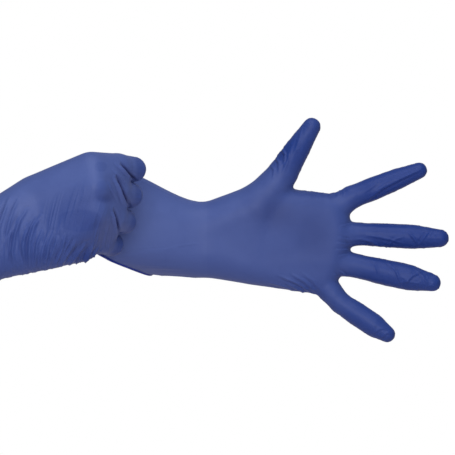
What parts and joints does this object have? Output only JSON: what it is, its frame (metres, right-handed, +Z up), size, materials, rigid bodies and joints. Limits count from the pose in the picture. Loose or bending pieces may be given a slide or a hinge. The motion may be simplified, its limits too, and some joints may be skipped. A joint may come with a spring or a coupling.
{
  "type": "disposable glove pair",
  "caption": "Pair of worn disposable gloves: one open with spread fingers, the other pinching and drawing back its rolled cuff.",
  "frame": {"origin": "centre of the left glove's wrist, where its palm meets its cuff", "axes": "+X towards the left glove's fingertips, +Y away from the front, behind the left glove's back, +Z up, towards the left thumb"},
  "size_m": [0.4148, 0.1449, 0.1742],
  "materials": {
    "film": "satin dipped nitrile film",
    "bead": "satin, thicker and darker where the rim is rolled"
  },
  "bodies": {
    "left_hand": {"left_cuff_bead": "bead", "left_cuff": "film", "left_palm": "film"},
    "right_hand": {"right_cuff_bead": "bead", "right_cuff": "film", "right_palm": "film"},
    "left_index_base": {"left_index_base": "film"},
    "left_index_middle": {"left_index_middle": "film"},
    "left_index_tip": {"left_index_tip": "film"},
    "left_middle_base": {"left_middle_base": "film"},
    "left_middle_middle": {"left_middle_middle": "film"},
    "left_middle_tip": {"left_middle_tip": "film"},
    "left_ring_base": {"left_ring_base": "film"},
    "left_ring_middle": {"left_ring_middle": "film"},
    "left_ring_tip": {"left_ring_tip": "film"},
    "left_little_base": {"left_little_base": "film"},
    "left_little_middle": {"left_little_middle": "film"},
    "left_little_tip": {"left_little_tip": "film"},
    "left_thumb_base": {"left_thumb_base": "film"},
    "left_thumb_tip": {"left_thumb_tip": "film"},
    "right_index_base": {"right_index_base": "film"},
    "right_index_middle": {"right_index_middle": "film"},
    "right_index_tip": {"right_index_tip": "film"},
    "right_middle_base": {"right_middle_base": "film"},
    "right_middle_middle": {"right_middle_middle": "film"},
    "right_middle_tip": {"right_middle_tip": "film"},
    "right_ring_base": {"right_ring_base": "film"},
    "right_ring_middle": {"right_ring_middle": "film"},
    "right_ring_tip": {"right_ring_tip": "film"},
    "right_little_base": {"right_little_base": "film"},
    "right_little_middle": {"right_little_middle": "film"},
    "right_little_tip": {"right_little_tip": "film"},
    "right_thumb_base": {"right_thumb_base": "film"},
    "right_thumb_tip": {"right_thumb_tip": "film"}
  },
  "joints": [
    {"name": "right_hand_draws_away", "type": "slide", "parent": "left_hand", "child": "right_hand", "axis": [-0.97, -0.243, 0], "range_m": [0, 0.12]},
    {"name": "left_index_knuckle", "type": "hinge", "parent": "left_hand", "child": "left_index_base", "pos_m": [0.1124, -0.001, 0.031], "axis": [0.3987, 0, -0.9171], "range_deg": [0, 60]},
    {"name": "left_index_middle_joint", "type": "hinge", "parent": "left_index_base", "child": "left_index_middle", "pos_m": [0.12798, -0.00159, 0.03777], "axis": [0.3987, 0, -0.9171], "range_deg": [0, 82]},
    {"name": "left_index_end_joint", "type": "hinge", "parent": "left_index_middle", "child": "left_index_tip", "pos_m": [0.14767, -0.00272, 0.04634], "axis": [0.3987, 0, -0.9171], "range_deg": [0, 48]},
    {"name": "left_middle_knuckle", "type": "hinge", "parent": "left_hand", "child": "left_middle_base", "pos_m": [0.1176, 0, 0.0042], "axis": [-0.0523, 0, -0.9986], "range_deg": [0, 60]},
    {"name": "left_middle_middle_joint", "type": "hinge", "parent": "left_middle_base", "child": "left_middle_middle", "pos_m": [0.13657, 0, 0.00321], "axis": [-0.0523, 0, -0.9986], "range_deg": [0, 82]},
    {"name": "left_middle_end_joint", "type": "hinge", "parent": "left_middle_middle", "child": "left_middle_tip", "pos_m": [0.1605, -0.00147, 0.00195], "axis": [-0.0523, 0, -0.9986], "range_deg": [0, 48]},
    {"name": "left_ring_knuckle", "type": "hinge", "parent": "left_hand", "child": "left_ring_base", "pos_m": [0.1158, 0, -0.0202], "axis": [-0.2164, 0, -0.9763], "range_deg": [0, 60]},
    {"name": "left_ring_middle_joint", "type": "hinge", "parent": "left_ring_base", "child": "left_ring_middle", "pos_m": [0.13384, -0.00097, -0.0242], "axis": [-0.2164, 0, -0.9763], "range_deg": [0, 82]},
    {"name": "left_ring_end_joint", "type": "hinge", "parent": "left_ring_middle", "child": "left_ring_tip", "pos_m": [0.15669, -0.00302, -0.02927], "axis": [-0.2164, 0, -0.9763], "range_deg": [0, 48]},
    {"name": "left_little_knuckle", "type": "hinge", "parent": "left_hand", "child": "left_little_base", "pos_m": [0.1033, -0.002, -0.0498], "axis": [-0.5563, 0, -0.831], "range_deg": [0, 60]},
    {"name": "left_little_middle_joint", "type": "hinge", "parent": "left_little_base", "child": "left_little_middle", "pos_m": [0.11528, -0.00352, -0.05782], "axis": [-0.5563, 0, -0.831], "range_deg": [0, 82]},
    {"name": "left_little_end_joint", "type": "hinge", "parent": "left_little_middle", "child": "left_little_tip", "pos_m": [0.12924, -0.00618, -0.06716], "axis": [-0.5563, 0, -0.831], "range_deg": [0, 48]},
    {"name": "left_thumb_knuckle", "type": "hinge", "parent": "left_hand", "child": "left_thumb_base", "pos_m": [0.06, -0.007, 0.0518], "axis": [0.7478, 0.5831, -0.3176], "range_deg": [0, 38]},
    {"name": "left_thumb_end_joint", "type": "hinge", "parent": "left_thumb_base", "child": "left_thumb_tip", "pos_m": [0.06894, -0.00992, 0.0675], "axis": [0.7478, 0.5831, -0.3176], "range_deg": [0, 60]},
    {"name": "right_index_knuckle", "type": "hinge", "parent": "right_hand", "child": "right_index_base", "pos_m": [-0.06698, -0.08433, 0.05542], "axis": [0.0698, 0, 0.9976], "range_deg": [-30, 0]},
    {"name": "right_index_middle_joint", "type": "hinge", "parent": "right_index_base", "child": "right_index_middle", "pos_m": [-0.0552, -0.0721, 0.0546], "axis": [0.0698, 0, 0.9976], "range_deg": [-50, 20]},
    {"name": "right_index_end_joint", "type": "hinge", "parent": "right_index_middle", "child": "right_index_tip", "pos_m": [-0.06927, -0.05587, 0.05558], "axis": [0.0698, 0, 0.9976], "range_deg": [-26, 13]},
    {"name": "right_middle_knuckle", "type": "hinge", "parent": "right_hand", "child": "right_middle_base", "pos_m": [-0.06837, -0.08826, 0.03604], "axis": [0.2419, 0, 0.9703], "range_deg": [-30, 0]},
    {"name": "right_middle_middle_joint", "type": "hinge", "parent": "right_middle_base", "child": "right_middle_middle", "pos_m": [-0.0578, -0.0727, 0.0334], "axis": [0.2419, 0, 0.9703], "range_deg": [-50, 20]},
    {"name": "right_middle_end_joint", "type": "hinge", "parent": "right_middle_middle", "child": "right_middle_tip", "pos_m": [-0.07564, -0.05727, 0.03785], "axis": [0.2419, 0, 0.9703], "range_deg": [-26, 13]},
    {"name": "right_ring_knuckle", "type": "hinge", "parent": "right_hand", "child": "right_ring_base", "pos_m": [-0.06961, -0.08739, 0.01575], "axis": [0.342, 0, 0.9397], "range_deg": [-30, 0]},
    {"name": "right_ring_middle_joint", "type": "hinge", "parent": "right_ring_base", "child": "right_ring_middle", "pos_m": [-0.0604, -0.0717, 0.0124], "axis": [0.342, 0, 0.9397], "range_deg": [-50, 20]},
    {"name": "right_ring_end_joint", "type": "hinge", "parent": "right_ring_middle", "child": "right_ring_tip", "pos_m": [-0.07804, -0.05756, 0.01882], "axis": [0.342, 0, 0.9397], "range_deg": [-26, 13]},
    {"name": "right_little_knuckle", "type": "hinge", "parent": "right_hand", "child": "right_little_base", "pos_m": [-0.07908, -0.07893, -0.00246], "axis": [0.3746, 0, 0.9272], "range_deg": [-30, 0]},
    {"name": "right_little_middle_joint", "type": "hinge", "parent": "right_little_base", "child": "right_little_middle", "pos_m": [-0.0708, -0.0675, -0.0058], "axis": [0.3746, 0, 0.9272], "range_deg": [-50, 20]},
    {"name": "right_little_end_joint", "type": "hinge", "parent": "right_little_middle", "child": "right_little_tip", "pos_m": [-0.08233, -0.05591, -0.00114], "axis": [0.3746, 0, 0.9272], "range_deg": [-26, 13]},
    {"name": "right_thumb_knuckle", "type": "hinge", "parent": "right_hand", "child": "right_thumb_base", "pos_m": [-0.11, -0.053, 0.035], "axis": [-0.1025, -0.0644, -0.9926], "range_deg": [-24, 0]},
    {"name": "right_thumb_end_joint", "type": "hinge", "parent": "right_thumb_base", "child": "right_thumb_tip", "pos_m": [-0.09987, -0.0379, 0.03297], "axis": [-0.1025, -0.0644, -0.9926], "range_deg": [-26, 0]}
  ],
  "couplings": [
    {"joint": "right_index_knuckle", "follows": "right_hand_draws_away", "rad_per_m": -3.4907},
    {"joint": "right_index_middle_joint", "follows": "right_hand_draws_away", "rad_per_m": -5.8178},
    {"joint": "right_index_end_joint", "follows": "right_hand_draws_away", "rad_per_m": -2.9089},
    {"joint": "right_middle_knuckle", "follows": "right_hand_draws_away", "rad_per_m": -3.4907},
    {"joint": "right_middle_middle_joint", "follows": "right_hand_draws_away", "rad_per_m": -5.8178},
    {"joint": "right_middle_end_joint", "follows": "right_hand_draws_away", "rad_per_m": -2.9089},
    {"joint": "right_ring_knuckle", "follows": "right_hand_draws_away", "rad_per_m": -3.4907},
    {"joint": "right_ring_middle_joint", "follows": "right_hand_draws_away", "rad_per_m": -5.8178},
    {"joint": "right_ring_end_joint", "follows": "right_hand_draws_away", "rad_per_m": -2.9089},
    {"joint": "right_little_knuckle", "follows": "right_hand_draws_away", "rad_per_m": -3.4907},
    {"joint": "right_little_middle_joint", "follows": "right_hand_draws_away", "rad_per_m": -5.8178},
    {"joint": "right_little_end_joint", "follows": "right_hand_draws_away", "rad_per_m": -2.9089},
    {"joint": "right_thumb_knuckle", "follows": "right_hand_draws_away", "rad_per_m": -3.4907},
    {"joint": "right_thumb_end_joint", "follows": "right_hand_draws_away", "rad_per_m": -3.7816}
  ]
}
